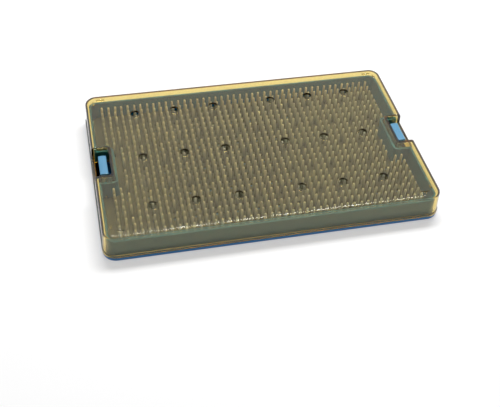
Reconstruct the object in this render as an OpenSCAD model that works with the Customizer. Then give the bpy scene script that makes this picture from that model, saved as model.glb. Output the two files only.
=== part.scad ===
// Instrument tray for cleaning and steam sterilizing small instruments.
// A perforated see-through lid drops over an opaque base, a finger mat lies in the base,
// and a swinging latch at each end hooks over the strip left across the lid's end notch.
// Origin: centre of the footprint, on the surface the tray stands on. X is the long side.

/* [Tray] */
// Length over the lid's hem
tray_length = 271; // [220:1:320]
// Width over the lid's hem
tray_width = 172.5; // [130:0.5:210]
// Height of the closed tray, to the lid's top face
tray_height = 25.4; // [24:0.1:36]
// Corner radius in plan, at the lid's hem
corner_radius = 11; // [9:0.5:18]

/* [Lid] */
// Wall thickness of the lid's skirt
lid_wall = 2; // [1.6:0.1:2.6]
// Thickness of the lid's top
lid_top = 2; // [1.6:0.1:3]
// How far the skirt leans in between its hem and its top edge
lid_draft = 0.8; // [0.2:0.1:1.5]
// Height of the thicker hem along the skirt's lower edge
hem_height = 3; // [2:0.1:4]
// How far the hem stands out from the skirt
hem_proud = 0.6; // [0.3:0.1:1]
// Radius of the lid's upper edge
lid_edge_radius = 2.5; // [1:0.1:3.5]
// Gap between the hem and the base's shoulder
seat_gap = 0.1; // [0.05:0.05:0.3]
// Diameter of the steam holes in the lid
steam_hole_d = 7.2; // [4:0.1:9]
// Distance between steam holes along a row
steam_hole_pitch = 34.1; // [26:0.1:36]
// Steam holes in each half of a row
steam_holes_per_half = 3; // [1:1:3]
// Distance between the rows of steam holes
steam_row_pitch = 55.5; // [30:0.5:60]
// Distance between the two steam holes next to the middle
steam_middle_gap = 50.8; // [20:0.1:60]

/* [Stacking ribs] */
// Height of the corner ribs on the lid, which locate a tray stacked on top
rib_height = 0.8; // [0.4:0.1:1.5]
// Width of the corner ribs
rib_width = 1.4; // [0.8:0.1:2.5]
// Length of the rib along the tray's long side
rib_long = 7; // [3:0.5:12]
// Length of the rib along the tray's short side
rib_short = 3.5; // [2:0.5:8]
// Distance from the hem to the ribs' centre lines
rib_inset = 8.4; // [6:0.1:12]
// Distance from one rib's centre line to the end of the other rib
rib_corner_gap = 2.6; // [1:0.1:5]

/* [Lid notch] */
// Clear width of the notch in each end of the lid
notch_width = 33; // [28:0.5:40]
// Depth of the notch in plan, from the hem to the notch's inner wall
notch_depth = 15; // [13.8:0.1:18]
// Wall thickness of the notch
notch_wall = 2; // [1.6:0.1:2.6]
// Inside corner radius of the notch in plan
notch_radius = 1.5; // [1:0.1:4]
// Drop from the lid's top to the top of the strip that the latch hooks over
strip_drop = 9; // [8.6:0.1:10]
// Distance from the hem to the strip's inner face
strip_inset = 3.2; // [2.8:0.1:3.4]
// Drop from the lid's top to the lower edge of the notch walls
notch_wall_drop = 16.4; // [14:0.1:17]

/* [Base] */
// Height of the base's foot, whose top is the shoulder under the hem
foot_height = 3.5; // [2.5:0.1:6]
// How far the foot stands back from the hem
foot_inset = 0.3; // [0.1:0.1:1]
// Radius of the foot's lower edge
foot_radius = 1.5; // [0.5:0.1:2.4]
// Thickness of the base's floor
base_floor = 2; // [1.6:0.1:3]
// Wall thickness of the base
base_wall = 2; // [1.6:0.1:2.6]
// Drop from the lid's top to the base's rim
base_rim_drop = 6.4; // [4:0.1:9]
// Gap between the lid's skirt, at its top, and the base's wall
skirt_clearance = 0.5; // [0.3:0.1:2]
// Diameter of the drain holes in the floor, which lie under the lid's steam holes
floor_hole_d = 6; // [3:0.1:8]

/* [Latch pocket] */
// Gap between the notch walls and the pocket that they sit in
pocket_clearance = 0.6; // [0.4:0.1:1.2]
// Wall thickness of the pocket
pocket_wall = 2; // [1.6:0.1:2.6]
// Diameter of the drain holes in the pocket's floor
pocket_hole_d = 3; // [2:0.1:4]
// Distance between the drain holes in the pocket's floor
pocket_hole_pitch = 8; // [5:0.5:12]

/* [Latch] */
// Width of the latch's tab
tab_width = 22; // [14:0.5:26]
// Thickness of the latch's stem
stem_thickness = 2; // [1.4:0.1:2.2]
// Thickness of the latch's cap
cap_thickness = 2.1; // [1.4:0.1:2.6]
// Gap between the cap and the corner of the strip that it swings past
cap_clearance = 0.4; // [0.3:0.05:0.8]
// Diameter of the latch's barrel
barrel_d = 5; // [4:0.1:5.2]
// Gap between the barrel and the hinge bosses at its ends
barrel_end_gap = 0.5; // [0.2:0.1:1]
// Diameter of the latch's hinge pin
pin_d = 2; // [1.5:0.1:2.5]
// Running clearance round the pin, on the radius
pin_clearance = 0.05; // [0.02:0.01:0.1]
// Distance from the hem to the hinge pin
pin_inset = 8.9; // [8.7:0.1:9.2]
// Gap between the barrel and the pocket's floor
barrel_floor_gap = 0.3; // [0.2:0.1:0.8]
// Lean of the latch's stem towards the tray when it is released, in degrees
stem_lean = 10; // [9:0.5:12]
// Reach of the cap past the upright on its outer side when it is released, in degrees
cap_reach = 10; // [8:0.5:11]

/* [Finger mat] */
// Gap between the mat and the base's walls
mat_clearance = 0.5; // [0.2:0.1:1.5]
// Thickness of the mat's sheet
mat_sheet = 2; // [1.2:0.1:3]
// Length of the fingers above the sheet
finger_length = 14.5; // [8:0.5:15]
// Diameter of a finger at its root
finger_root_d = 2.3; // [1.6:0.1:3]
// Diameter of a finger below its rounded tip
finger_tip_d = 2; // [1.2:0.1:2.6]
// Distance between fingers along the tray's long side
finger_pitch_x = 5.6; // [5:0.1:9]
// Distance between fingers along the tray's short side
finger_pitch_y = 6.73; // [5:0.01:9]
// Least distance from the mat's short edges to the first column of fingers
finger_margin_x = 7.5; // [4:0.5:14]
// Least distance from the mat's long edges to the first row of fingers
finger_margin_y = 4.5; // [3:0.5:12]
// Diameter of the drain holes that take the place of some fingers
mat_hole_d = 3.2; // [2:0.1:4]
// Every so many columns, a drain hole takes a finger's place
drain_column_step = 3; // [2:1:6]
// Every so many rows, a drain hole takes a finger's place
drain_row_step = 4; // [2:1:6]

/* [Hidden] */

$fn = 48;
blue = [0.16, 0.52, 0.85];
amber = [0.80, 0.62, 0.25, 0.55];
silicone = [0.82, 0.82, 0.78];
steel = [0.72, 0.73, 0.75];
through = 1;
arc_steps = 5;

// Heights
lid_under = tray_height - lid_top;
strip_top = tray_height - strip_drop;
notch_wall_bottom = tray_height - notch_wall_drop;
base_rim = tray_height - base_rim_drop;
hem_bottom = foot_height + seat_gap;
hem_top = hem_bottom + hem_height;

// Distances inwards from the hem
skirt_face_top = hem_proud + lid_draft;
skirt_inner_top = skirt_face_top + lid_wall;
skirt_inner_bottom = hem_proud + lid_wall;
base_face = skirt_inner_top + skirt_clearance;
base_inner = base_face + base_wall;
pocket_inner = notch_depth + notch_wall + pocket_clearance;
pocket_back = pocket_inner + pocket_wall;
pocket_ledge = base_face + base_wall / 2;

// Half widths of the end features, from the tray's middle plane
notch_half = notch_width / 2;
pocket_half = notch_half + notch_wall + pocket_clearance;
pocket_half_out = pocket_half + pocket_wall;

// Latch: radii are measured from the hinge pin
pin_height = base_floor + barrel_floor_gap + barrel_d / 2;
strip_face = hem_proud + lid_draft * (strip_top - hem_top) / (tray_height - hem_top);
strip_corner_radius = norm([pin_inset - strip_face, strip_top - pin_height]);
cap_inner_radius = strip_corner_radius + cap_clearance;
cap_outer_radius = cap_inner_radius + cap_thickness;
cap_back = stem_lean + asin(stem_thickness / 2 / cap_outer_radius);

// Finger grid
mat_length = tray_length - 2 * (base_inner + mat_clearance);
mat_width = tray_width - 2 * (base_inner + mat_clearance);
mat_top = base_floor + mat_sheet;
finger_columns = floor((mat_length - 2 * finger_margin_x) / finger_pitch_x) + 1;
finger_rows = floor((mat_width - 2 * finger_margin_y) / finger_pitch_y) + 1;
mat_cut_x = tray_length / 2 - pocket_back - mat_clearance;
mat_cut_y = pocket_half_out + mat_clearance;

// Place of a column or row, counted in pitches from the middle
function from_middle(index, count) = index - (count - 1) / 2;

// True where a drain hole takes a finger's place, the same on both sides of the middle
function is_drain(place, count, step) =
    let(shift = count % 2 == 0 ? floor(step / 2) + 0.5 : 0)
    (abs(place) + shift) % step == 0;

// True where the sheet is whole under a round of the given radius
function on_mat(x, y, radius) =
    abs(x) < mat_cut_x - radius || abs(y) > mat_cut_y + radius;

finger_grid = [
    for (i = [0 : finger_columns - 1], j = [0 : finger_rows - 1])
    [from_middle(i, finger_columns), from_middle(j, finger_rows)]
];

drain_places = [
    for (g = finger_grid)
    if (is_drain(g[0], finger_columns, drain_column_step))
    if (is_drain(g[1], finger_rows, drain_row_step))
    if (on_mat(g[0] * finger_pitch_x, g[1] * finger_pitch_y, mat_hole_d))
    g
];

finger_places = [
    for (g = finger_grid)
    if (!is_drain(g[0], finger_columns, drain_column_step)
        || !is_drain(g[1], finger_rows, drain_row_step))
    if (on_mat(g[0] * finger_pitch_x, g[1] * finger_pitch_y, finger_root_d / 2))
    g
];

// Points of an arc about a centre, between two angles
function arc(centre, radius, from, to) = [
    for (k = [0 : arc_steps])
    let(a = from + (to - from) * k / arc_steps)
    centre + radius * [cos(a), sin(a)]
];

// Rounded rectangle centred on the origin
module rounded_rectangle(length, width, radius) {
    square([length - 2 * radius, width], center = true);
    square([length, width - 2 * radius], center = true);
    for (sx = [-1, 1], sy = [-1, 1])
        translate([sx * (length / 2 - radius), sy * (width / 2 - radius)])
            circle(radius);
}

// Sweeps a section round the tray's outline and fills the middle.
// The section's x is 0 at the hem and negative inwards, and it reaches in to the corner axis.
module swept_round_tray(middle_bottom, middle_top) {
    straight_x = tray_length - 2 * corner_radius;
    straight_y = tray_width - 2 * corner_radius;
    for (mx = [0, 1], my = [0, 1])
        mirror([mx, 0, 0])
            mirror([0, my, 0])
                translate([straight_x / 2, straight_y / 2, 0])
                    rotate_extrude(angle = 90)
                        translate([corner_radius, 0])
                            children();
    for (my = [0, 1])
        mirror([0, my, 0])
            translate([-straight_x / 2, tray_width / 2, 0])
                rotate([90, 0, 90])
                    linear_extrude(straight_x)
                        children();
    for (mx = [0, 1])
        mirror([mx, 0, 0])
            translate([tray_length / 2, straight_y / 2, 0])
                rotate([90, 0, 0])
                    linear_extrude(straight_y)
                        children();
    translate([-straight_x / 2, -straight_y / 2, middle_bottom])
        cube([straight_x, straight_y, middle_top - middle_bottom]);
}

// Runs its children at the right end and, mirrored, at the left end
module both_ends() {
    for (mx = [0, 1])
        mirror([mx, 0, 0])
            children();
}

// Block at the right end: from one inset to another, rounded at its inner corners
module end_block(outer, inner, half_width, radius, bottom, top) {
    reach = inner - outer;
    translate([tray_length / 2 - outer, 0, bottom])
        linear_extrude(top - bottom)
            intersection() {
                rounded_rectangle(2 * reach, 2 * half_width, radius);
                translate([-reach - through, -half_width - through])
                    square([reach + through, 2 * half_width + 2 * through]);
            }
}

// Section of the lid: hem, leaning skirt, rounded upper edge and top
module lid_section() {
    edge_x = -skirt_face_top - lid_edge_radius;
    edge_z = tray_height - lid_edge_radius;
    polygon(concat(
        [
            [0, hem_bottom],
            [0, hem_top - hem_proud],
            [-hem_proud, hem_top]
        ],
        arc([edge_x, edge_z], lid_edge_radius, 0, 90),
        [
            [-corner_radius, tray_height],
            [-corner_radius, lid_under],
            [-skirt_inner_top, lid_under],
            [-skirt_inner_bottom, hem_bottom]
        ]
    ));
}

// Section of the base: rounded foot, shoulder, wall and floor
module base_section() {
    polygon(concat(
        [
            [-corner_radius, 0]
        ],
        arc([-foot_inset - foot_radius, foot_radius], foot_radius, -90, 0),
        [
            [-foot_inset, foot_height],
            [-base_face, foot_height],
            [-base_face, base_rim],
            [-base_inner, base_rim],
            [-base_inner, base_floor],
            [-corner_radius, base_floor]
        ]
    ));
}

// Two ribs at each corner of the lid's top, one along each side
module stacking_ribs() {
    rib_bottom = tray_height - lid_top / 2;
    rib_tall = tray_height + rib_height - rib_bottom;
    for (mx = [0, 1], my = [0, 1])
        mirror([mx, 0, 0])
            mirror([0, my, 0])
                translate([tray_length / 2 - rib_inset, tray_width / 2 - rib_inset, rib_bottom]) {
                    translate([-rib_corner_gap - rib_long, -rib_width / 2, 0])
                        cube([rib_long, rib_width, rib_tall]);
                    translate([-rib_width / 2, -rib_corner_gap - rib_short, 0])
                        cube([rib_width, rib_short, rib_tall]);
                }
}

// Three rows of holes through a plate, with a wider gap in the middle of each row
module hole_rows(diameter, plate_bottom, plate_thickness) {
    for (sx = [-1, 1], k = [0 : steam_holes_per_half - 1], row = [-1 : 1])
        translate([
            sx * (steam_middle_gap / 2 + k * steam_hole_pitch),
            row * steam_row_pitch,
            plate_bottom - through
        ])
            cylinder(h = plate_thickness + 2 * through, d = diameter);
}

module lid() {
    notch_out = notch_depth + notch_wall;
    wall_root = skirt_face_top + lid_wall / 2;
    color(amber)
        difference() {
            union() {
                swept_round_tray(lid_under, tray_height)
                    lid_section();
                both_ends()
                    end_block(wall_root, notch_out, notch_half + notch_wall,
                        notch_radius + notch_wall, notch_wall_bottom, lid_under + lid_top / 2);
                stacking_ribs();
            }
            both_ends() {
                end_block(-through, notch_depth, notch_half, notch_radius,
                    strip_top, tray_height + rib_height + through);
                end_block(strip_inset, notch_depth, notch_half, notch_radius,
                    hem_bottom, strip_top + through);
            }
            hole_rows(steam_hole_d, lid_under, lid_top);
        }
}

// Drain holes in a row along the pocket's inner wall
module pocket_drains() {
    for (k = [-1 : 1])
        translate([
            tray_length / 2 - pocket_inner + pocket_hole_d,
            k * pocket_hole_pitch,
            -through
        ])
            cylinder(h = base_floor + 2 * through, d = pocket_hole_d);
}

// Axis along Y through the hinge of the right latch
module at_hinge() {
    translate([tray_length / 2 - pin_inset, 0, pin_height])
        rotate([90, 0, 0])
            children();
}

// Boss at each end of the hinge pin, rooted in the pocket's floor and side wall
module hinge_bosses() {
    root_depth = pin_height - base_floor / 2;
    for (my = [0, 1])
        mirror([0, my, 0])
            at_hinge()
                translate([0, 0, notch_half])
                    linear_extrude(pocket_half + pocket_wall / 2 - notch_half) {
                        circle(d = barrel_d);
                        translate([-barrel_d / 2, -root_depth])
                            square([barrel_d, root_depth]);
                    }
}

// Shell of the base with its two empty latch pockets
module base_shell() {
    difference() {
        union() {
            swept_round_tray(0, base_floor)
                base_section();
            both_ends()
                end_block(pocket_ledge, pocket_back, pocket_half_out,
                    notch_radius + notch_wall, base_floor / 2, base_rim);
        }
        both_ends() {
            end_block(pocket_ledge, pocket_inner, pocket_half, notch_radius,
                base_floor, base_rim + through);
            translate([tray_length / 2 - base_inner, -pocket_half, foot_height])
                cube([base_inner, 2 * pocket_half, base_rim]);
        }
    }
}

module base_tray() {
    color(blue)
        difference() {
            union() {
                base_shell();
                both_ends()
                    hinge_bosses();
            }
            both_ends() {
                at_hinge()
                    cylinder(h = 2 * pocket_half_out + 2 * through, d = pin_d, center = true);
                pocket_drains();
            }
            hole_rows(floor_hole_d, 0, base_floor);
        }
}

// One finger: a slight taper with a bevelled tip, rooted in the sheet
module finger() {
    tip_bevel = finger_tip_d / 3;
    rotate_extrude($fn = 24)
        polygon([
            [0, -mat_sheet / 2],
            [finger_root_d / 2, -mat_sheet / 2],
            [finger_root_d / 2, 0],
            [finger_tip_d / 2, finger_length - tip_bevel],
            [finger_tip_d / 4, finger_length],
            [0, finger_length]
        ]);
}

module finger_mat() {
    color(silicone) {
        difference() {
            translate([0, 0, base_floor])
                linear_extrude(mat_sheet)
                    rounded_rectangle(mat_length, mat_width, corner_radius - base_inner);
            both_ends()
                end_block(0, pocket_back + mat_clearance, mat_cut_y,
                    notch_radius + notch_wall, 0, mat_top + through);
            for (g = drain_places)
                translate([g[0] * finger_pitch_x, g[1] * finger_pitch_y, base_floor - through])
                    cylinder(h = mat_sheet + 2 * through, d = mat_hole_d);
        }
        for (g = finger_places)
            translate([g[0] * finger_pitch_x, g[1] * finger_pitch_y, mat_top])
                finger();
    }
}

// Section of the latch about its hinge: barrel, leaning stem and arched cap.
// Its x points out of the tray and its y points up.
module latch_section() {
    cap_middle = (cap_inner_radius + cap_outer_radius) / 2;
    circle(d = barrel_d);
    rotate(stem_lean)
        translate([-stem_thickness / 2, 0])
            square([stem_thickness, cap_middle]);
    intersection() {
        difference() {
            circle(cap_outer_radius);
            circle(cap_inner_radius);
        }
        polygon([
            [0, 0],
            2 * cap_outer_radius * [-sin(cap_back), cos(cap_back)],
            2 * cap_outer_radius * [sin(cap_reach), cos(cap_reach)]
        ]);
    }
}

module latch() {
    barrel_length = 2 * (notch_half - barrel_end_gap);
    color(blue)
        difference() {
            at_hinge() {
                linear_extrude(tab_width, center = true)
                    latch_section();
                cylinder(h = barrel_length, d = barrel_d, center = true);
            }
            at_hinge()
                cylinder(h = barrel_length + 2 * through, d = pin_d + 2 * pin_clearance, center = true);
        }
}

module latch_pin() {
    color(steel)
        at_hinge()
            cylinder(h = 2 * pocket_half_out, d = pin_d, center = true);
}

module right_latch() {
    latch();
}

module left_latch() {
    mirror([1, 0, 0])
        latch();
}

module right_latch_pin() {
    latch_pin();
}

module left_latch_pin() {
    mirror([1, 0, 0])
        latch_pin();
}

base_tray();
finger_mat();
left_latch_pin();
right_latch_pin();
lid();
left_latch();
right_latch();
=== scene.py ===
# %% [markdown]
# # Instrument tray
# A shallow lidded tray for washing, steam sterilizing and storing small things. An opaque blue base
# holds a silicone mat with rows of soft fingers, a clear amber lid drops over it, and a latch at each
# end swings over the lid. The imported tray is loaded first, because every piece made here takes its
# size and place from it.

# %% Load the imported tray
import math

import bmesh
import bpy
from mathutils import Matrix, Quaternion, Vector


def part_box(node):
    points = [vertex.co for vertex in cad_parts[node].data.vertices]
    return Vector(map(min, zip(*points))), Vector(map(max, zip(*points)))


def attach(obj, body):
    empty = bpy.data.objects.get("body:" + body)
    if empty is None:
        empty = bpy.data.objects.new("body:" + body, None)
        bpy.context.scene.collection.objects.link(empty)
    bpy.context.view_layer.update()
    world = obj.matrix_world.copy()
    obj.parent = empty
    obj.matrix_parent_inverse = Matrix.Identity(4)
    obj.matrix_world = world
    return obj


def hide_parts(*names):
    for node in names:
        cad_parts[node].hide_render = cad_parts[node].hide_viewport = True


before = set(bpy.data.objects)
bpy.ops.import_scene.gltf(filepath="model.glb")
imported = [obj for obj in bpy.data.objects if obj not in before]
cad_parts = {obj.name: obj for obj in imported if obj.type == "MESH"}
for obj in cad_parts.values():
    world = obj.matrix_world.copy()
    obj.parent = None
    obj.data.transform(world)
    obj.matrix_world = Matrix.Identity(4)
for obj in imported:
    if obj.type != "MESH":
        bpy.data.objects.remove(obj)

for stray in ("Cube", "Light", "Camera"):
    if stray in bpy.data.objects:
        bpy.data.objects.remove(bpy.data.objects[stray])
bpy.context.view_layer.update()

# %% [markdown]
# ## Sizes
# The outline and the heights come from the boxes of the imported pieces. What a box can't tell, such as
# a wall's thickness, is a named value here, in metres. A place near the rim is written as an inset,
# the distance inwards from the lid's hem, because lid, base and latch all share that outline.

# %% Shared sizes
MM = 0.001
lid_low, lid_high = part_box("lid")
_, base_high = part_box("base_tray")
mat_low, mat_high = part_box("finger_mat")
pin_low, pin_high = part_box("right_latch_pin")
barrel_low, barrel_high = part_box("right_latch")

HALF_LENGTH = lid_high.x
HALF_WIDTH = lid_high.y
CORNER_RADIUS = 11 * MM
ROUND_SIDES = 40

RIB_HEIGHT = 0.8 * MM
LID_TOP = lid_high.z - RIB_HEIGHT
LID_THICK = 2 * MM
LID_UNDER = LID_TOP - LID_THICK
HEM_BOTTOM = lid_low.z
FLOOR_THICK = 2 * MM
BASE_RIM = base_high.z

HEM_PROUD = 0.6 * MM
SKIRT_LEAN = 0.8 * MM
SKIRT_TOP = HEM_PROUD + SKIRT_LEAN
SKIRT_INNER_TOP = SKIRT_TOP + LID_THICK
SKIRT_INNER_BOTTOM = HEM_PROUD + LID_THICK
LID_CLEARANCE = 0.5 * MM
BASE_WALL = 2 * MM
BASE_FACE = SKIRT_INNER_TOP + LID_CLEARANCE
BASE_INNER = BASE_FACE + BASE_WALL

NOTCH_HALF = 16.5 * MM
NOTCH_DEPTH = 15 * MM
NOTCH_WALL = 2 * MM
NOTCH_RADIUS = 1.5 * MM
NOTCH_WALL_RADIUS = NOTCH_RADIUS + NOTCH_WALL
POCKET_GAP = 0.6 * MM
POCKET_INNER = NOTCH_DEPTH + NOTCH_WALL + POCKET_GAP
POCKET_BACK = POCKET_INNER + BASE_WALL
POCKET_HALF = NOTCH_HALF + NOTCH_WALL + POCKET_GAP
POCKET_HALF_OUT = pin_high.y

PIN_RADIUS = (pin_high.z - pin_low.z) / 2
HINGE = Vector(((pin_low.x + pin_high.x) / 2, 0, (pin_low.z + pin_high.z) / 2))
BARREL_RADIUS = HINGE.z - barrel_low.z
ENDS = {"right": 1, "left": -1}
print("tray over the hem, in mm:", round(2 * HALF_LENGTH / MM, 1), round(2 * HALF_WIDTH / MM, 1))

# %% [markdown]
# ## Tools for moulded pieces
# Base, lid and mat are mouldings with the same plan: a rectangle with round corners. A solid of that
# kind is a stack of rings. Each ring is the outline at one inset and height, neighbours are joined by
# strips of faces, and the first and last ring are filled. A profile that goes up the outside, over the
# rim and down the inside makes a whole shell, with its wall thickness and its rounded edges, in one go.

# %% Rings and prisms
CORNER_STEPS = 12
MERGE_DISTANCE = 0.001 * MM


def arc(centre, radius, start, end, steps):
    """Points of an arc about a centre, between two angles in degrees."""
    turns = [math.radians(start + (end - start) * k / steps) for k in range(steps + 1)]
    return [(centre[0] + radius * math.cos(a), centre[1] + radius * math.sin(a)) for a in turns]


def outline(half_length, half_width, radius):
    """Points of a rectangle with round corners, counter-clockwise from the right side."""
    points = []
    for k, (sx, sy) in enumerate(((1, 1), (-1, 1), (-1, -1), (1, -1))):
        centre = (sx * (half_length - radius), sy * (half_width - radius))
        points += arc(centre, radius, 90 * k, 90 * k + 90, CORNER_STEPS)
    return points


def new_piece(name, mesh_builder):
    """A mesh object at the origin, from a finished bmesh, with its faces outwards."""
    bmesh.ops.remove_doubles(mesh_builder, verts=mesh_builder.verts, dist=MERGE_DISTANCE)
    bmesh.ops.recalc_face_normals(mesh_builder, faces=mesh_builder.faces)
    mesh = bpy.data.meshes.new(name)
    mesh_builder.to_mesh(mesh)
    mesh_builder.free()
    piece = bpy.data.objects.new(name, mesh)
    bpy.context.scene.collection.objects.link(piece)
    return piece


def ring_solid(name, profile, half_length, half_width, radius):
    """A closed solid whose rings follow a profile of (inset, height) points."""
    builder = bmesh.new()
    rings = []
    for inset, z in profile:
        points = outline(half_length - inset, half_width - inset, radius - inset)
        rings.append([builder.verts.new((x, y, z)) for x, y in points])
    count = len(rings[0])
    for lower, upper in zip(rings, rings[1:]):
        for k in range(count):
            n = (k + 1) % count
            builder.faces.new((lower[k], lower[n], upper[n], upper[k]))
    builder.faces.new(rings[0])
    builder.faces.new(rings[-1])
    return new_piece(name, builder)


def prism(name, points, low, high, place):
    """A closed solid from a flat outline, with place(a, b, height) giving each corner in space."""
    builder = bmesh.new()
    floor = [builder.verts.new(place(a, b, low)) for a, b in points]
    roof = [builder.verts.new(place(a, b, high)) for a, b in points]
    count = len(points)
    for k in range(count):
        n = (k + 1) % count
        builder.faces.new((floor[k], floor[n], roof[n], roof[k]))
    builder.faces.new(floor)
    builder.faces.new(roof)
    return new_piece(name, builder)


def upright(a, b, height):
    """A corner of a prism that stands up."""
    return (a, b, height)


def along_y(a, b, height):
    """A corner of a prism that lies across the tray."""
    return (a, height, b)


print("a moulding's outline has", len(outline(HALF_LENGTH, HALF_WIDTH, CORNER_RADIUS)), "points")

# %% [markdown]
# Notches, pockets and ribs are plain blocks that are added to a moulding or cut out of it. A Boolean
# modifier does that, and its result is made a plain mesh at once, so that the next cut has real faces to
# start from. The exact solver was chosen because it also keeps thin walls closed.

# %% Adding and cutting
BLOCK_STEPS = 6


def settle(piece):
    """Turns a piece and its modifiers into a plain mesh."""
    graph = bpy.context.evaluated_depsgraph_get()
    mesh = bpy.data.meshes.new_from_object(
        piece.evaluated_get(graph), preserve_all_data_layers=True, depsgraph=graph
    )
    piece.modifiers.clear()
    piece.data = mesh
    mesh.name = piece.name


def combine(piece, tool, operation):
    """Adds a second solid to a piece, or takes it away, and removes that solid."""
    modifier = piece.modifiers.new(operation, "BOOLEAN")
    modifier.operation = operation
    modifier.solver = "EXACT"
    modifier.object = tool
    settle(piece)
    bpy.data.objects.remove(tool)


def end_block(side, outer, inner, half_width, radius, low, high):
    """A block at one end of the tray, between two insets, with its inner corners rounded."""
    x_out = HALF_LENGTH - outer
    x_in = HALF_LENGTH - inner
    points = [(x_out, -half_width), (x_out, half_width)]
    points += arc((x_in + radius, half_width - radius), radius, 90, 180, BLOCK_STEPS)
    points += arc((x_in + radius, radius - half_width), radius, 180, 270, BLOCK_STEPS)
    return prism("block", [(side * x, y) for x, y in points], low, high, upright)


print("a block's inner corners turn in", BLOCK_STEPS, "steps")

# %% [markdown]
# No moulded edge is sharp as a knife, and the small round along it is what catches the light. A Bevel
# modifier makes the round, but only on edges that carry a weight, because at the very short edges that
# a cut can leave it would fold over itself. Weighted normals keep the large faces flat beside the rounds.

# %% Rounded edges
CREASE = math.radians(30)
SHARP_EDGE = math.radians(50)
SHORT_EDGE = 0.2 * MM
CROWDED_EDGE = 0.1 * MM
EDGE_STEPS = 2


def mark_edges(piece):
    """Gives a bevel weight to sharp edges that are long enough, and keeps the other creases crisp."""
    builder = bmesh.new()
    builder.from_mesh(piece.data)
    weight = builder.edges.layers.float.new("bevel_weight_edge")
    crowded = {v for e in builder.edges if e.calc_length() < CROWDED_EDGE for v in e.verts}
    for edge in builder.edges:
        turn = edge.calc_face_angle(0)
        if turn > SHARP_EDGE and edge.calc_length() > SHORT_EDGE and crowded.isdisjoint(edge.verts):
            edge[weight] = 1.0
        elif turn > CREASE:
            edge.smooth = False
    builder.to_mesh(piece.data)
    builder.free()


def round_edges(piece, width):
    """Breaks the sharp edges of a moulding, as a mould's own edges do."""
    piece.data.shade_smooth()
    mark_edges(piece)
    modifier = piece.modifiers.new("round edges", "BEVEL")
    modifier.width = width
    modifier.segments = EDGE_STEPS
    modifier.limit_method = "WEIGHT"
    modifier.use_clamp_overlap = False
    shading = piece.modifiers.new("keep flat faces flat", "WEIGHTED_NORMAL")
    shading.keep_sharp = True
    settle(piece)
    print(piece.name, "has", len(piece.data.polygons), "faces")


print("edges that turn more than", round(math.degrees(SHARP_EDGE)), "degrees are rounded")

# %% [markdown]
# ## Tools for node trees
# Geometry Nodes and shader groups are both trees of nodes, and a few helpers keep the building of a tree
# readable. One makes a node and fills or links its inputs by name, and one is short for a Math node.
# Others start a tree with named inputs, read values off a list along a curve, and turn a round solid from
# heights and radii. The last one runs a finished tree on a piece, with its inputs set by identifier.

# %% Node helpers
def node(tree, kind, inputs=None, **settings):
    """A new node, with settings on the node and values or links on its inputs."""
    made = tree.nodes.new(kind)
    for name, value in settings.items():
        setattr(made, name, value)
    for name, value in (inputs or {}).items():
        if isinstance(value, bpy.types.NodeSocket):
            tree.links.new(value, made.inputs[name])
        else:
            made.inputs[name].default_value = value
    return made


def sums(tree, operation, first, second=0.0):
    """The output of a Math node."""
    return node(tree, "ShaderNodeMath", {0: first, 1: second}, operation=operation).outputs[0]


def geometry_tree(name, inputs):
    """A Geometry Nodes tree with named inputs. Returns the tree and its input node."""
    tree = bpy.data.node_groups.new(name, "GeometryNodeTree")
    tree.interface.new_socket("Geometry", in_out="INPUT", socket_type="NodeSocketGeometry")
    for label, kind in inputs.items():
        tree.interface.new_socket(label, in_out="INPUT", socket_type="NodeSocket" + kind)
    tree.interface.new_socket("Geometry", in_out="OUTPUT", socket_type="NodeSocketGeometry")
    return tree, tree.nodes.new("NodeGroupInput")


def shape_curve(tree, heights):
    """A value for each point of a curve, read off a list by the point's number."""
    last = len(heights) - 1
    number = tree.nodes.new("GeometryNodeInputIndex").outputs["Index"]
    curve = node(tree, "ShaderNodeFloatCurve", {"Value": sums(tree, "DIVIDE", number, float(last))})
    mapping = curve.mapping
    mapping.use_clip = False
    line = mapping.curves[0]
    line.points[0].location = (0, heights[0])
    line.points[1].location = (1, heights[last])
    for k in range(1, last):
        line.points.new(k / last, heights[k])
    for point in line.points:
        point.handle_type = "VECTOR"
    mapping.update()
    return curve.outputs["Value"]


def turned(tree, count, height, width, sides):
    """A round solid about the upright axis, with a height and a radius at each of a count of points."""
    line = node(tree, "GeometryNodeCurvePrimitiveLine", {"Start": (0, 0, 0), "End": (0, 0, 1)})
    spine = node(tree, "GeometryNodeResampleCurve", {"Curve": line.outputs["Curve"], "Count": count})
    place = node(tree, "ShaderNodeCombineXYZ", {"Z": height})
    risen = node(tree, "GeometryNodeSetPosition", {
        "Geometry": spine.outputs["Curve"], "Position": place.outputs["Vector"],
    })
    ring = node(tree, "GeometryNodeCurvePrimitiveCircle", {"Resolution": sides, "Radius": 1.0})
    skin = node(tree, "GeometryNodeCurveToMesh", {
        "Curve": risen.outputs["Geometry"], "Profile Curve": ring.outputs["Curve"],
        "Scale": width, "Fill Caps": True,
    })
    return skin.outputs["Mesh"]


def run_tree(piece, tree, values):
    """Adds a tree to a piece and sets the tree's inputs."""
    modifier = piece.modifiers.new(tree.name, "NODES")
    modifier.node_group = tree
    for item in tree.interface.items_tree:
        if item.item_type == "SOCKET" and item.in_out == "INPUT" and item.name in values:
            modifier[item.identifier] = values[item.name]


helpers = (node, sums, geometry_tree, shape_curve, turned, run_tree)
print("node helpers:", [helper.__name__ for helper in helpers])

# %% [markdown]
# ## Finishes
# Moulded plastic is never one flat colour. The mould leaves a fine grain, and the gloss changes a
# little from place to place where the part was handled and washed. One shader group gives both to
# every material: a tone, a roughness and a height, each from noise on the piece's own coordinates,
# which are in metres, so a scale of 1000 makes spots about a millimetre across.

# %% Shared surface group
GRAIN_DEPTH = 0.1 * MM


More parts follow.
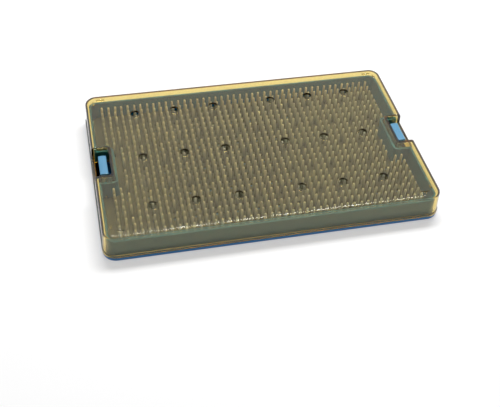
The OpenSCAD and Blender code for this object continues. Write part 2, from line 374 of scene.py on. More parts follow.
def moulded_skin():
    """Noise for tone, roughness and height, at sizes that each material sets."""
    tree = bpy.data.node_groups.new("Moulded Skin", "ShaderNodeTree")
    for label in ("Grain Scale", "Patch Scale", "Roughness", "Roughness Spread"):
        tree.interface.new_socket(label, in_out="INPUT", socket_type="NodeSocketFloat")
    for label in ("Tone", "Roughness", "Height"):
        tree.interface.new_socket(label, in_out="OUTPUT", socket_type="NodeSocketFloat")
    given = tree.nodes.new("NodeGroupInput")
    place = tree.nodes.new("ShaderNodeTexCoord").outputs["Object"]
    grain = node(tree, "ShaderNodeTexNoise", {
        "Vector": place, "Scale": given.outputs["Grain Scale"], "Detail": 3.0, "Roughness": 0.6,
    })
    patches = node(tree, "ShaderNodeTexNoise", {
        "Vector": place, "Scale": given.outputs["Patch Scale"], "Detail": 4.0, "Roughness": 0.55,
    })
    swing = sums(tree, "SUBTRACT", patches.outputs["Fac"], 0.5)
    change = sums(tree, "MULTIPLY", swing, given.outputs["Roughness Spread"])
    rough = sums(tree, "ADD", given.outputs["Roughness"], change)
    out = tree.nodes.new("NodeGroupOutput")
    tree.links.new(patches.outputs["Fac"], out.inputs["Tone"])
    tree.links.new(rough, out.inputs["Roughness"])
    tree.links.new(grain.outputs["Fac"], out.inputs["Height"])
    return tree


SKIN = moulded_skin()


def skinned_material(name, grain, patch, roughness, spread, bump):
    """A material with a Principled shader whose roughness and bump come from the shared group."""
    material = bpy.data.materials.new(name)
    material.use_nodes = True
    tree = material.node_tree
    shader = tree.nodes["Principled BSDF"]
    skin = node(tree, "ShaderNodeGroup", node_tree=SKIN)
    for label, value in (
        ("Grain Scale", grain), ("Patch Scale", patch),
        ("Roughness", roughness), ("Roughness Spread", spread),
    ):
        skin.inputs[label].default_value = value
    tree.links.new(skin.outputs["Roughness"], shader.inputs["Roughness"])
    lift = node(tree, "ShaderNodeBump", {
        "Height": skin.outputs["Height"], "Strength": bump, "Distance": GRAIN_DEPTH,
    })
    tree.links.new(lift.outputs["Normal"], shader.inputs["Normal"])
    return material, tree, shader, skin


def between(tree, factor, first, second):
    """A colour that goes from the first to the second with the factor."""
    blend = node(tree, "ShaderNodeMix", data_type="RGBA")
    tree.links.new(factor, blend.inputs["Factor"])
    blend.inputs["A"].default_value = (*first, 1)
    blend.inputs["B"].default_value = (*second, 1)
    return blend.outputs["Result"]


skin_outputs = [item.name for item in SKIN.interface.items_tree if item.in_out == "OUTPUT"]
print("shared group puts out", skin_outputs)

# %% [markdown]
# The base and the latches are an opaque azure plastic with a satin face. The lid is clear amber. It could
# be a tinted glass shader, but then thick and thin places would look alike. Here the surface is nearly
# colourless and the colour comes from absorption inside, so that a short way through the top looks pale
# and the long way along an edge looks dark brown, as in a real moulding.

# %% Plastic materials
def azure_plastic(name, dark, light):
    """Opaque satin plastic whose colour drifts a little between two tones."""
    material, tree, shader, skin = skinned_material(
        name, grain=2600, patch=60, roughness=0.36, spread=0.16, bump=0.06
    )
    colour = between(tree, skin.outputs["Tone"], dark, light)
    tree.links.new(colour, shader.inputs["Base Color"])
    shader.inputs["Specular IOR Level"].default_value = 0.5
    return material


def amber_plastic():
    """Clear polished plastic that takes its colour from the way light goes through it."""
    material, tree, shader, _ = skinned_material(
        "amber_lid", grain=90, patch=35, roughness=0.055, spread=0.03, bump=0.015
    )
    shader.inputs["Base Color"].default_value = (1.0, 0.985, 0.94, 1)
    shader.inputs["Transmission Weight"].default_value = 1.0
    shader.inputs["IOR"].default_value = 1.54
    inside = node(tree, "ShaderNodeVolumeAbsorption", {
        "Color": (0.88, 0.77, 0.22, 1), "Density": 420.0,
    })
    tree.links.new(inside.outputs["Volume"], tree.nodes["Material Output"].inputs["Volume"])
    return material


AZURE_BASE = azure_plastic("azure_base", (0.010, 0.185, 0.520), (0.016, 0.225, 0.600))
AZURE_LATCH = azure_plastic("azure_latch", (0.055, 0.205, 0.345), (0.070, 0.245, 0.405))
AMBER_LID = amber_plastic()
print("plastics:", [plastic.name for plastic in (AZURE_BASE, AZURE_LATCH, AMBER_LID)])

# %% [markdown]
# The mat is translucent silicone, soft in its gloss. Its colour is painted light and shade by height:
# painted shade, dark, at the sheet and low on the fingers, where shade falls between them, and painted
# light, pale, at the finger tips, where light comes in from all sides. Scattering inside hundreds of
# fingers would be slow to render, so this painted light and shade stands in for it. The hinge pins are
# drawn steel wire with a fine grain.

# %% Silicone and steel
# how fast the painted light rises from the sheet to the finger tips
PAINTED_LIGHT_FADE = 1.3


def soft_silicone():
    """Satin silicone with painted shade at the sheet and painted light towards the finger tips."""
    material, tree, shader, skin = skinned_material(
        "soft_silicone", grain=1800, patch=45, roughness=0.42, spread=0.2, bump=0.08
    )
    place = tree.nodes.new("ShaderNodeTexCoord").outputs["Object"]
    height = node(tree, "ShaderNodeSeparateXYZ", {"Vector": place}).outputs["Z"]
    up = node(tree, "ShaderNodeMapRange", {
        "Value": height, "From Min": mat_low.z, "From Max": mat_high.z,
    })
    # painted shade: dark colour at the sheet and low on the fingers, where shade falls between them
    body = between(tree, skin.outputs["Tone"], (0.020, 0.032, 0.050), (0.045, 0.058, 0.078))
    # painted light: pale colour at the finger tips, for light that comes in from all sides
    painted_light_tip = between(tree, skin.outputs["Tone"], (0.95, 0.98, 1.0), (0.97, 0.99, 1.0))
    painted_light_rise = sums(tree, "POWER", up.outputs["Result"], PAINTED_LIGHT_FADE)
    blend = node(tree, "ShaderNodeMix", {"Factor": painted_light_rise}, data_type="RGBA")
    tree.links.new(body, blend.inputs["A"])
    tree.links.new(painted_light_tip, blend.inputs["B"])
    tree.links.new(blend.outputs["Result"], shader.inputs["Base Color"])
    return material


def drawn_steel():
    """Bare steel wire."""
    material, tree, shader, skin = skinned_material(
        "drawn_steel", grain=9000, patch=400, roughness=0.28, spread=0.2, bump=0.1
    )
    colour = between(tree, skin.outputs["Tone"], (0.52, 0.53, 0.54), (0.68, 0.68, 0.69))
    tree.links.new(colour, shader.inputs["Base Color"])
    shader.inputs["Metallic"].default_value = 1.0
    return material


SILICONE = soft_silicone()
STEEL = drawn_steel()
print("mat and pins:", [finish.name for finish in (SILICONE, STEEL)])

# %% [markdown]
# ## Holes
# Steam goes in through rows of holes in the lid, and water drains through holes in the mat and the
# base. All are drilled by one Geometry Nodes tree: a grid of points for each half of the piece, a drill
# on every point, and one boolean that takes all the drills out of the plate. A moulded hole has no knife
# edge, so the drill widens a little at both faces of the plate.

# %% Hole tree
DRILL_LEVELS = (0, 0, 1, 1)
DRILL_STEPS = (-1, 1, -1, 1)
DRILL_FLARES = (2, 0, 0, 2)


def one_drill(tree, value):
    """A drill that widens at both faces of the plate, so that it leaves a bevelled rim on each."""
    thick = sums(tree, "SUBTRACT", value["Plate Top"], value["Plate Bottom"])
    level = sums(tree, "MULTIPLY", shape_curve(tree, DRILL_LEVELS), thick)
    step = sums(tree, "MULTIPLY", shape_curve(tree, DRILL_STEPS), value["Rim"])
    height = sums(tree, "ADD", value["Plate Bottom"], sums(tree, "ADD", level, step))
    flare = sums(tree, "MULTIPLY", shape_curve(tree, DRILL_FLARES), value["Rim"])
    width = sums(tree, "ADD", sums(tree, "MULTIPLY", value["Diameter"], 0.5), flare)
    return turned(tree, len(DRILL_LEVELS), height, width, value["Sides"])


def hole_tree():
    """Two mirrored grids of holes, one in each half of a plate."""
    tree, given = geometry_tree("Drilled Holes", {
        "Columns Per Half": "Int", "Rows": "Int", "Column Pitch": "Float", "Row Pitch": "Float",
        "Middle Gap": "Float", "Diameter": "Float", "Plate Bottom": "Float", "Plate Top": "Float",
        "Rim": "Float", "Sides": "Int", "Material": "Material",
    })
    value = given.outputs
    across = sums(tree, "SUBTRACT", value["Columns Per Half"], 1.0)
    reach = sums(tree, "MULTIPLY", across, value["Column Pitch"])
    rows = sums(tree, "SUBTRACT", value["Rows"], 1.0)
    spread = sums(tree, "MULTIPLY", rows, value["Row Pitch"])
    grid = node(tree, "GeometryNodeMeshGrid", {
        "Size X": reach, "Size Y": spread,
        "Vertices X": value["Columns Per Half"], "Vertices Y": value["Rows"],
    })
    centre = sums(tree, "MULTIPLY", sums(tree, "ADD", reach, value["Middle Gap"]), 0.5)
    halves = tree.nodes.new("GeometryNodeJoinGeometry")
    for side in ENDS.values():
        shift = node(tree, "ShaderNodeCombineXYZ", {"X": sums(tree, "MULTIPLY", centre, side)})
        half = node(tree, "GeometryNodeTransform", {
            "Geometry": grid.outputs["Mesh"], "Translation": shift.outputs["Vector"],
        })
        tree.links.new(half.outputs["Geometry"], halves.inputs["Geometry"])
    drills = node(tree, "GeometryNodeInstanceOnPoints", {
        "Points": halves.outputs["Geometry"], "Instance": one_drill(tree, value),
    })
    solid = node(tree, "GeometryNodeRealizeInstances", {"Geometry": drills.outputs["Instances"]})
    cut = node(tree, "GeometryNodeMeshBoolean", {
        "Mesh 1": value["Geometry"], "Mesh 2": solid.outputs["Geometry"],
    }, operation="DIFFERENCE", solver="EXACT")
    plain = node(tree, "GeometryNodeRealizeInstances", {"Geometry": cut.outputs["Mesh"]})
    painted = node(tree, "GeometryNodeSetMaterial", {
        "Geometry": plain.outputs["Geometry"], "Material": value["Material"],
    })
    out = tree.nodes.new("NodeGroupOutput")
    tree.links.new(painted.outputs["Geometry"], out.inputs["Geometry"])
    return tree


HOLES = hole_tree()
TRAY_HOLES = {
    "Columns Per Half": 3, "Rows": 3, "Column Pitch": 34.1 * MM, "Row Pitch": 55.5 * MM,
    "Middle Gap": 50.8 * MM, "Rim": 0.3 * MM, "Sides": ROUND_SIDES,
}
print("hole tree has", len(HOLES.nodes), "nodes")

# %% [markdown]
# ## Base
# The base is a low blue tub. Its foot carries the lid's hem on a shoulder, its wall stands inside the
# lid, and at each end a pocket goes in round the latch. It could be a box with a hollow cut into it and
# a bevel on each edge, but as one ring solid it has all its rounds from the profile.

# %% Base profile and hinge
FOOT_HEIGHT = 3.5 * MM
FOOT_INSET = 0.3 * MM
FOOT_RADIUS = 1.5 * MM
FOOT_STEPS = 6
RIM_ROUND = 0.5 * MM
RIM_STEPS = 4
FILLET_STEPS = 3
CLEAR = 1 * MM


def base_profile():
    """Up the outside from the foot, over the rim, and down the inside to the floor."""
    foot = FOOT_INSET + FOOT_RADIUS
    rim = BASE_RIM - RIM_ROUND
    points = arc((foot, FOOT_RADIUS), FOOT_RADIUS, 270, 180, FOOT_STEPS)
    points += arc((FOOT_INSET + RIM_ROUND, FOOT_HEIGHT - RIM_ROUND), RIM_ROUND, 180, 90, FILLET_STEPS)
    points += [(BASE_FACE, FOOT_HEIGHT)]
    points += arc((BASE_FACE + RIM_ROUND, rim), RIM_ROUND, 180, 90, RIM_STEPS)
    points += arc((BASE_INNER - RIM_ROUND, rim), RIM_ROUND, 90, 0, RIM_STEPS)
    points += arc((BASE_INNER + RIM_ROUND, FLOOR_THICK + RIM_ROUND), RIM_ROUND, 180, 270, FILLET_STEPS)
    return points


def hinge_rod(name, side, radius, half_length):
    """A round rod along one hinge, for a barrel or a bore."""
    circle = arc((0, 0), radius, 0, 360, ROUND_SIDES)[:-1]
    points = [(side * HINGE.x + a, HINGE.z + b) for a, b in circle]
    return prism(name, points, -half_length, half_length, along_y)


def hinge_boss(side, hand):
    """A boss that carries one end of a hinge pin: a block on the floor with a round top."""
    root = FLOOR_THICK / 2 - HINGE.z
    points = arc((0, 0), BARREL_RADIUS, 0, 180, ROUND_SIDES // 2)
    points += [(-BARREL_RADIUS, root), (BARREL_RADIUS, root)]
    points = [(side * HINGE.x + a, HINGE.z + b) for a, b in points]
    return prism("boss", points, hand * NOTCH_HALF, hand * (POCKET_HALF + CLEAR), along_y)


print("base profile has", len(base_profile()), "points")

# %% [markdown]
# The pocket round each latch is a block that is added to the tub and then hollowed out, just as a core in
# the mould would do it. Two bosses in it carry the hinge pin, and small holes drain its floor.

# %% Base tray
POCKET_LEDGE = BASE_FACE + 1 * MM
POCKET_HOLE_DIAMETER = 3 * MM
POCKET_HOLE_PITCH = 8 * MM
POCKET_HOLE_RIM = 0.2 * MM
FLOOR_HOLE_DIAMETER = 6 * MM
MOULD_EDGE = 0.3 * MM

base = ring_solid("base_tub", base_profile(), HALF_LENGTH, HALF_WIDTH, CORNER_RADIUS)
for side in ENDS.values():
    combine(base, end_block(
        side, POCKET_LEDGE, POCKET_BACK, POCKET_HALF_OUT, NOTCH_WALL_RADIUS, FLOOR_THICK / 2, BASE_RIM
    ), "UNION")
    combine(base, end_block(
        side, POCKET_LEDGE, POCKET_INNER, POCKET_HALF, NOTCH_RADIUS, FLOOR_THICK, BASE_RIM + CLEAR
    ), "DIFFERENCE")
    mouth_ends = (HALF_LENGTH - BASE_INNER, HALF_LENGTH + CLEAR)
    mouth = [(side * x, POCKET_HALF) for x in mouth_ends]
    mouth += [(x, -y) for x, y in reversed(mouth)]
    combine(base, prism("mouth", mouth, FOOT_HEIGHT, BASE_RIM + CLEAR, upright), "DIFFERENCE")
    for hand in (-1, 1):
        combine(base, hinge_boss(side, hand), "UNION")
    combine(base, hinge_rod("pin_bore", side, PIN_RADIUS, POCKET_HALF_OUT + CLEAR), "DIFFERENCE")
base_plate = {"Plate Bottom": 0.0, "Plate Top": FLOOR_THICK, "Material": AZURE_BASE}
run_tree(base, HOLES, {**TRAY_HOLES, **base_plate, "Diameter": FLOOR_HOLE_DIAMETER})
run_tree(base, HOLES, {
    **base_plate, "Columns Per Half": 1, "Rows": 3, "Row Pitch": POCKET_HOLE_PITCH,
    "Middle Gap": 2 * (HALF_LENGTH - POCKET_INNER + POCKET_HOLE_DIAMETER),
    "Diameter": POCKET_HOLE_DIAMETER, "Rim": POCKET_HOLE_RIM, "Sides": ROUND_SIDES,
})
settle(base)
round_edges(base, MOULD_EDGE)
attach(base, "base")
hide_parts("base_tray")

# %% [markdown]
# ## Lid
# The lid is a thin shell: a thick hem along the lower edge, a skirt that leans in a little so that it
# leaves the mould, a rounded upper edge and a flat top. At each end a notch lets a finger reach the
# latch, with a wall round it and a strip of skirt left across it for the latch to hook over. Light bends
# and darkens inside clear plastic, so the lid has to be one closed skin with no faces hidden inside. A
# flat sheet with a Solidify modifier would be quicker, but it can't give the hem.

# %% Lid profile and ribs
HEM_TOP = HEM_BOTTOM + 3 * MM
LID_EDGE = 2.5 * MM
LID_EDGE_STEPS = 8
LID_INNER_EDGE = 1 * MM
LID_INNER_STEPS = 4
RIB_INSET = 8.4 * MM
RIB_GAP = 2.6 * MM
RIB_WIDTH = 1.4 * MM
RIB_LONG = 7 * MM
RIB_SHORT = 3.5 * MM


def lid_profile():
    """From the flat top down the outside to the hem, and up the inside."""
    points = arc((SKIRT_TOP + LID_EDGE, LID_TOP - LID_EDGE), LID_EDGE, 90, 180, LID_EDGE_STEPS)
    points += [(HEM_PROUD, HEM_TOP), (0, HEM_TOP - HEM_PROUD), (0, HEM_BOTTOM)]
    points += [(SKIRT_INNER_BOTTOM, HEM_BOTTOM)]
    corner = (SKIRT_INNER_TOP + LID_INNER_EDGE, LID_UNDER - LID_INNER_EDGE)
    points += arc(corner, LID_INNER_EDGE, 180, 90, LID_INNER_STEPS)
    return points


def rib(sx, sy, x_reach, y_reach):
    """One raised rib near a corner, from its near and far distances to the hem."""
    near_x, far_x = x_reach
    near_y, far_y = y_reach
    corners = [(near_x, near_y), (far_x, near_y), (far_x, far_y), (near_x, far_y)]
    points = [(sx * (HALF_LENGTH - x), sy * (HALF_WIDTH - y)) for x, y in corners]
    return prism("rib", points, LID_TOP - LID_THICK / 2, LID_TOP + RIB_HEIGHT, upright)


print("lid profile has", len(lid_profile()), "points")

# %% [markdown]
# Three blocks make each notch: one adds its wall, one opens it from above down to the strip, and one
# clears the room behind the strip. Ribs at the corners keep what is stacked on the lid from sliding.

# %% Lid
STRIP_TOP = LID_TOP - 9 * MM
STRIP_INNER = 3.2 * MM
NOTCH_WALL_BOTTOM = LID_TOP - 16.4 * MM
LID_HOLE_DIAMETER = 7.2 * MM

lid = ring_solid("amber_lid", lid_profile(), HALF_LENGTH, HALF_WIDTH, CORNER_RADIUS)
for side in ENDS.values():
    combine(lid, end_block(
        side, SKIRT_TOP + LID_THICK / 2, NOTCH_DEPTH + NOTCH_WALL, NOTCH_HALF + NOTCH_WALL,
        NOTCH_WALL_RADIUS, NOTCH_WALL_BOTTOM, LID_UNDER + LID_THICK / 2
    ), "UNION")
    combine(lid, end_block(
        side, -CLEAR, NOTCH_DEPTH, NOTCH_HALF, NOTCH_RADIUS, STRIP_TOP, LID_TOP + CLEAR
    ), "DIFFERENCE")
    combine(lid, end_block(
        side, STRIP_INNER, NOTCH_DEPTH, NOTCH_HALF, NOTCH_RADIUS,
        HEM_BOTTOM - CLEAR, STRIP_TOP + CLEAR
    ), "DIFFERENCE")
    for sy in (-1, 1):
        middle = (RIB_INSET - RIB_WIDTH / 2, RIB_INSET + RIB_WIDTH / 2)
        start = RIB_INSET + RIB_GAP
        combine(lid, rib(side, sy, (start, start + RIB_LONG), middle), "UNION")
        combine(lid, rib(side, sy, middle, (start, start + RIB_SHORT)), "UNION")
run_tree(lid, HOLES, {
    **TRAY_HOLES, "Plate Bottom": LID_UNDER, "Plate Top": LID_TOP,
    "Diameter": LID_HOLE_DIAMETER, "Material": AMBER_LID,
})
settle(lid)
round_edges(lid, MOULD_EDGE)
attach(lid, "lid")
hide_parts("lid")

# %% [markdown]
# ## Latches
# Each latch is a barrel on a hinge pin, a stem that leans towards the tray while the latch is open, and
# a curved cap that swings over the strip of the lid. The cap is an arc about the pin, so that it slides
# past the strip's corner without touching. One outline, drawn in the plane across the pin, gives stem
# and cap. The barrel is added, and the bore for the pin is taken out.

# %% Latches
TAB_HALF = 11 * MM
STEM_HALF = 1 * MM
STEM_LEAN = 10
CAP_REACH = 10
CAP_THICK = 2.1 * MM
CAP_OUTER = barrel_high.z - HINGE.z
CAP_INNER = CAP_OUTER - CAP_THICK
CAP_INNER_STEPS = 10
CAP_OUTER_STEPS = 12
PIN_CLEARANCE = 0.05 * MM
LATCH_EDGE = 0.4 * MM


def latch_outline():
    """Stem and cap about the hinge: first number out of the tray, second number up."""
    lean = math.radians(STEM_LEAN)
    out = Vector((math.cos(lean), math.sin(lean)))
    inner_turn = math.degrees(math.asin(STEM_HALF / CAP_INNER))
    outer_turn = math.degrees(math.asin(STEM_HALF / CAP_OUTER))
    points = [tuple(-STEM_HALF * out), tuple(STEM_HALF * out)]
    points += arc((0, 0), CAP_INNER, 90 + STEM_LEAN - inner_turn, 90 - CAP_REACH, CAP_INNER_STEPS)
    points += arc((0, 0), CAP_OUTER, 90 - CAP_REACH, 90 + STEM_LEAN + outer_turn, CAP_OUTER_STEPS)
    return points


for label, side in ENDS.items():
    points = [(side * (HINGE.x + a), HINGE.z + b) for a, b in latch_outline()]
    latch = prism(label + "_latch_tab", points, -TAB_HALF, TAB_HALF, along_y)
    combine(latch, hinge_rod("barrel", side, BARREL_RADIUS, barrel_high.y), "UNION")
    bore = hinge_rod("bore", side, PIN_RADIUS + PIN_CLEARANCE, barrel_high.y + CLEAR)
    combine(latch, bore, "DIFFERENCE")
    latch.data.materials.clear()
    latch.data.materials.append(AZURE_LATCH)
    round_edges(latch, LATCH_EDGE)
    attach(latch, label + "_latch")
    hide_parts(label + "_latch")
    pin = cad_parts[label + "_latch_pin"]
    pin.data.materials.clear()
    pin.data.materials.append(STEEL)
    print(latch.name, "hangs on its pin at x", round(side * HINGE.x / MM, 1), "mm")

# %% [markdown]
# ## Finger mat
# The mat is one moulding of soft silicone: a thin sheet with hundreds of slim fingers that hold apart
# what lies on them. The fingers stand in a grid, and every third column and fourth row a drain hole takes
# a finger's place. A Geometry Nodes tree lays the grid, drops the points over drains and latch pockets,
# and puts a finger on each point that is left, turned a little at random because silicone is never
# quite straight. The finger is a line with a radius along it, so its shape is two short curves.

# %% Finger tree
FINGER_SIDES = 9
FINGER_HEIGHTS = (0.0, 0.06, 0.45, 0.945, 0.975, 0.993, 1.0)
FINGER_WIDTHS = (1.30, 1.0, 0.95, 0.87, 0.76, 0.50, 0.20)
STEP_TOLERANCE = 0.1


def one_finger(tree, value):
    """A tapered finger that stands at the origin, with a flared root and a domed tip."""
    height = sums(tree, "MULTIPLY", shape_curve(tree, FINGER_HEIGHTS), value["Finger Length"])
    width = sums(tree, "MULTIPLY", shape_curve(tree, FINGER_WIDTHS), value["Root Radius"])
    return turned(tree, len(FINGER_HEIGHTS), height, width, FINGER_SIDES)


def every(tree, place, shift, step):
    """True at each place whose distance from the middle, plus a shift, is a whole number of steps."""
    far = sums(tree, "ADD", sums(tree, "ABSOLUTE", place), shift)
    rest = sums(tree, "PINGPONG", far, sums(tree, "MULTIPLY", step, 0.5))
    return sums(tree, "LESS_THAN", rest, STEP_TOLERANCE)


def finger_tree():
    """A grid of fingers on a sheet, left out over drains and latch pockets."""
    tree, given = geometry_tree("Finger Field", {
        "Columns": "Int", "Rows": "Int", "Column Pitch": "Float", "Row Pitch": "Float",
        "Drain Columns": "Float", "Drain Rows": "Float", "Pocket From": "Float", "Pocket Half": "Float",
        "Sheet Top": "Float", "Finger Length": "Float", "Root Radius": "Float", "Lean": "Float",
        "Seed": "Int", "Material": "Material",
    })
    value = given.outputs
    wide = sums(tree, "MULTIPLY", sums(tree, "SUBTRACT", value["Columns"], 1.0), value["Column Pitch"])
    deep = sums(tree, "MULTIPLY", sums(tree, "SUBTRACT", value["Rows"], 1.0), value["Row Pitch"])
    grid = node(tree, "GeometryNodeMeshGrid", {
        "Size X": wide, "Size Y": deep, "Vertices X": value["Columns"], "Vertices Y": value["Rows"],
    })
    where = node(tree, "ShaderNodeSeparateXYZ", {
        "Vector": tree.nodes.new("GeometryNodeInputPosition").outputs["Position"],
    })
    column = sums(tree, "DIVIDE", where.outputs["X"], value["Column Pitch"])
    row = sums(tree, "DIVIDE", where.outputs["Y"], value["Row Pitch"])
    half_step = sums(tree, "MULTIPLY", value["Drain Columns"], 0.5)
    drain = sums(
        tree, "MULTIPLY",
        every(tree, column, half_step, value["Drain Columns"]), every(tree, row, 0.0, value["Drain Rows"]),
    )
    at_end = sums(tree, "GREATER_THAN", sums(tree, "ABSOLUTE", where.outputs["X"]), value["Pocket From"])
    in_line = sums(tree, "LESS_THAN", sums(tree, "ABSOLUTE", where.outputs["Y"]), value["Pocket Half"])
    bare = sums(tree, "ADD", drain, sums(tree, "MULTIPLY", at_end, in_line))
    kept = node(tree, "GeometryNodeDeleteGeometry", {
        "Geometry": grid.outputs["Mesh"], "Selection": bare,
    }, domain="POINT")
    lean = sums(tree, "RADIANS", value["Lean"])
    back = sums(tree, "MULTIPLY", lean, -1.0)
    most = node(tree, "ShaderNodeCombineXYZ", {"X": lean, "Y": lean, "Z": math.pi})
    least = node(tree, "ShaderNodeCombineXYZ", {"X": back, "Y": back, "Z": -math.pi})
    turn = node(tree, "FunctionNodeRandomValue", data_type="FLOAT_VECTOR")
    tree.links.new(least.outputs["Vector"], turn.inputs[0])
    tree.links.new(most.outputs["Vector"], turn.inputs[1])
    tree.links.new(value["Seed"], turn.inputs["Seed"])
    stand = node(tree, "GeometryNodeInstanceOnPoints", {
        "Points": kept.outputs["Geometry"], "Instance": one_finger(tree, value),
        "Rotation": turn.outputs[0],
    })
    loose = node(tree, "GeometryNodeRealizeInstances", {"Geometry": stand.outputs["Instances"]})
    lift = node(tree, "ShaderNodeCombineXYZ", {"Z": value["Sheet Top"]})
    placed = node(tree, "GeometryNodeTransform", {
        "Geometry": loose.outputs["Geometry"], "Translation": lift.outputs["Vector"],
    })
    smooth = node(tree, "GeometryNodeSetShadeSmooth", {"Geometry": placed.outputs["Geometry"]})
    joined = tree.nodes.new("GeometryNodeJoinGeometry")
    tree.links.new(value["Geometry"], joined.inputs["Geometry"])
    tree.links.new(smooth.outputs["Geometry"], joined.inputs["Geometry"])
    plain = node(tree, "GeometryNodeRealizeInstances", {"Geometry": joined.outputs["Geometry"]})
    painted = node(tree, "GeometryNodeSetMaterial", {
        "Geometry": plain.outputs["Geometry"], "Material": value["Material"],
    })
    out = tree.nodes.new("NodeGroupOutput")
    tree.links.new(painted.outputs["Geometry"], out.inputs["Geometry"])
    return tree


FINGERS = finger_tree()
print("finger tree has", len(FINGERS.nodes), "nodes")

# %% [markdown]
# The sheet is a thin ring solid with a bay cut out round each latch pocket. The hole tree that drilled
# lid and base drills the drains, and the finger tree then stands the fingers on what is left. Their roots
# go a little way into the sheet, so that no gap shows where a finger leans.

# %% Finger mat
FINGER_COLUMNS = 44
FINGER_ROWS = 23
FINGER_LEAN = 1.5
FINGER_SEED = 7
FINGER_LENGTH = 14.5 * MM
FINGER_ROOT = 0.5 * MM
ROOT_RADIUS = 1.15 * MM
COLUMN_PITCH = 5.6 * MM
ROW_PITCH = 6.73 * MM
DRAIN_COLUMNS = 3
DRAIN_ROWS = 4
DRAINS_PER_HALF = 7
DRAINS_ACROSS = 5
DRAIN_DIAMETER = 3.2 * MM
DRAIN_RIM = 0.2 * MM
DRAIN_SIDES = 16
MAT_TOP = mat_high.z - FINGER_LENGTH
MAT_ROUND = 0.4 * MM
MAT_CLEARANCE = 0.5 * MM
BAY_DEPTH = POCKET_BACK + MAT_CLEARANCE
BAY_HALF = POCKET_HALF_OUT + MAT_CLEARANCE


def mat_profile():
    """Up the edge of the sheet, round below and above."""
    points = arc((MAT_ROUND, mat_low.z + MAT_ROUND), MAT_ROUND, 270, 180, FILLET_STEPS)
    points += arc((MAT_ROUND, MAT_TOP - MAT_ROUND), MAT_ROUND, 180, 90, FILLET_STEPS)
    return points


mat = ring_solid("silicone_mat", mat_profile(), mat_high.x, mat_high.y, CORNER_RADIUS - BASE_INNER)
for side in ENDS.values():
    bay = end_block(side, 0, BAY_DEPTH, BAY_HALF, NOTCH_WALL_RADIUS, 0, MAT_TOP + CLEAR)
    combine(mat, bay, "DIFFERENCE")
run_tree(mat, HOLES, {
    "Columns Per Half": DRAINS_PER_HALF, "Rows": DRAINS_ACROSS,
    "Column Pitch": DRAIN_COLUMNS * COLUMN_PITCH, "Row Pitch": DRAIN_ROWS * ROW_PITCH,
    "Middle Gap": DRAIN_COLUMNS * COLUMN_PITCH, "Plate Bottom": mat_low.z, "Plate Top": MAT_TOP,
    "Diameter": DRAIN_DIAMETER, "Rim": DRAIN_RIM, "Sides": DRAIN_SIDES, "Material": SILICONE,
})
run_tree(mat, FINGERS, {
    "Columns": FINGER_COLUMNS, "Rows": FINGER_ROWS,
    "Column Pitch": COLUMN_PITCH, "Row Pitch": ROW_PITCH,
    "Drain Columns": float(DRAIN_COLUMNS), "Drain Rows": float(DRAIN_ROWS),
    "Pocket From": HALF_LENGTH - BAY_DEPTH - ROOT_RADIUS, "Pocket Half": BAY_HALF + ROOT_RADIUS,
    "Sheet Top": MAT_TOP - FINGER_ROOT, "Finger Length": FINGER_LENGTH + FINGER_ROOT,
    "Root Radius": ROOT_RADIUS, "Lean": FINGER_LEAN, "Seed": FINGER_SEED, "Material": SILICONE,
})
settle(mat)
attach(mat, "base")
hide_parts("finger_mat")
print("mat has", len(mat.data.polygons), "faces")

# %% [markdown]
# ## Studio
# The tray stands on a plain white floor. The floor could be made white by more light, but that would
# bleach the tray too. Instead the Light Path node tells what a ray is for: rays that the camera sees, also
# through clear plastic or in a reflection, find a white floor, and rays that light the tray find its
# plain tone. A ray that has left a matt surface lights that surface, so it counts among the latter.

# %% Floor
FLOOR_TONE = (0.5, 0.5, 0.5)
FLOOR_LIFT = 0.44
FLOOR_HALF = 6.0
FLOOR_DEPTH = 10 * MM
FIRST_BOUNCE = 0.5


def seen_directly(tree):
    """1 for what the camera sees straight on, through clear plastic or mirrored, otherwise 0."""
    path = tree.nodes.new("ShaderNodeLightPath").outputs
    clear = sums(tree, "MAXIMUM", path["Is Camera Ray"], path["Is Transmission Ray"])
    shown = sums(tree, "MAXIMUM", clear, path["Is Glossy Ray"])
    before_diffuse = sums(tree, "LESS_THAN", path["Diffuse Depth"], FIRST_BOUNCE)
    return sums(tree, "MULTIPLY", shown, before_diffuse)


def floor_material():
    """A matt floor that looks white and takes shadows."""
    material = bpy.data.materials.new("studio_floor")
    material.use_nodes = True
    tree = material.node_tree
    shader = tree.nodes["Principled BSDF"]
    shader.inputs["Base Color"].default_value = (*FLOOR_TONE, 1)
    shader.inputs["Roughness"].default_value = 0.9
    shader.inputs["Emission Color"].default_value = (1, 1, 1, 1)
    lift = sums(tree, "MULTIPLY", seen_directly(tree), FLOOR_LIFT)
    tree.links.new(lift, shader.inputs["Emission Strength"])
    return material


floor_corners = [(sx * FLOOR_HALF, sy * FLOOR_HALF) for sx, sy in ((-1, -1), (1, -1), (1, 1), (-1, 1))]
floor = prism("studio_floor", floor_corners, -FLOOR_DEPTH, 0, upright)
floor.data.materials.append(floor_material())
print("floor is", 2 * FLOOR_HALF, "m wide")

# %% [markdown]
# The light is soft: a white surrounding from all sides, a lit panel above and behind that gives the shapes
# a lit and a shaded side, and a weak strip in front. The flat lid is a mirror, so neither panel hangs where
# the lid would throw it at the camera.

# %% Light and surroundings
SURROUND_LIGHT = 0.28
SURROUND_SEEN = 1.0


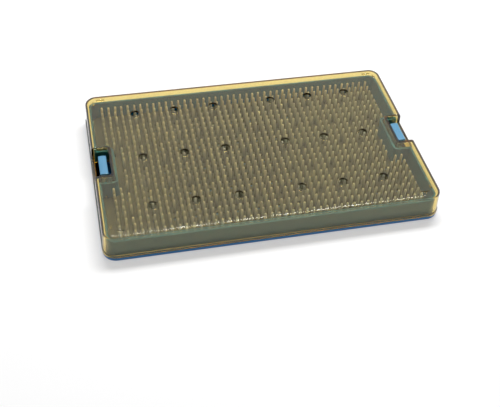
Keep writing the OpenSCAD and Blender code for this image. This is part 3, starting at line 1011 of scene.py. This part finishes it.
def soft_lamp(name, place, power, length, depth):
    """A lit panel that hangs level and shines straight down."""
    lamp = bpy.data.lights.new(name, "AREA")
    lamp.energy = power
    lamp.shape = "RECTANGLE"
    lamp.size = length
    lamp.size_y = depth
    holder = bpy.data.objects.new(name, lamp)
    holder.location = place
    bpy.context.scene.collection.objects.link(holder)
    print(name, "hangs", place[2], "m up and shines with", power, "W")


soft_lamp("key_lamp", (0.2, 0.4, 1.1), power=18.0, length=0.8, depth=0.3)
soft_lamp("front_strip", (0.25, -0.7, 1.05), power=1.0, length=0.9, depth=0.15)

world = bpy.data.worlds.new("studio")
bpy.context.scene.world = world
world.use_nodes = True
world_tree = world.node_tree
sky = world_tree.nodes["Background"]
surround = node(world_tree, "ShaderNodeMapRange", {
    "Value": seen_directly(world_tree), "To Min": SURROUND_LIGHT, "To Max": SURROUND_SEEN,
})
world_tree.links.new(surround.outputs["Result"], sky.inputs["Strength"])
sky.inputs["Color"].default_value = (1, 1, 1, 1)
print("surroundings light the tray with", SURROUND_LIGHT, "and look like", SURROUND_SEEN)

# %% [markdown]
# ## Camera
# The camera looks down at the tray from its front left, at about 45 degrees, with a slight roll.

# %% Camera
CAMERA_PLACE = (-0.1372, -0.5071, 0.4876)
CAMERA_TURN = math.radians(14.98)
CAMERA_DOWN = math.radians(45.43)
CAMERA_ROLL = math.radians(3.61)
LENS = 60.47
SENSOR_WIDTH = 36
forward = Vector((
    math.sin(CAMERA_TURN) * math.cos(CAMERA_DOWN),
    math.cos(CAMERA_TURN) * math.cos(CAMERA_DOWN),
    -math.sin(CAMERA_DOWN),
))
lens = bpy.data.cameras.new("camera")
lens.lens = LENS
lens.sensor_width = SENSOR_WIDTH
camera = bpy.data.objects.new("camera", lens)
camera.location = CAMERA_PLACE
camera.rotation_mode = "QUATERNION"
camera.rotation_quaternion = forward.to_track_quat("-Z", "Y") @ Quaternion((0, 0, 1), CAMERA_ROLL)
bpy.context.scene.collection.objects.link(camera)
bpy.context.scene.camera = camera
bpy.context.scene.view_settings.view_transform = "Standard"
print("camera stands", round(Vector(CAMERA_PLACE).length, 3), "m from the tray's middle")
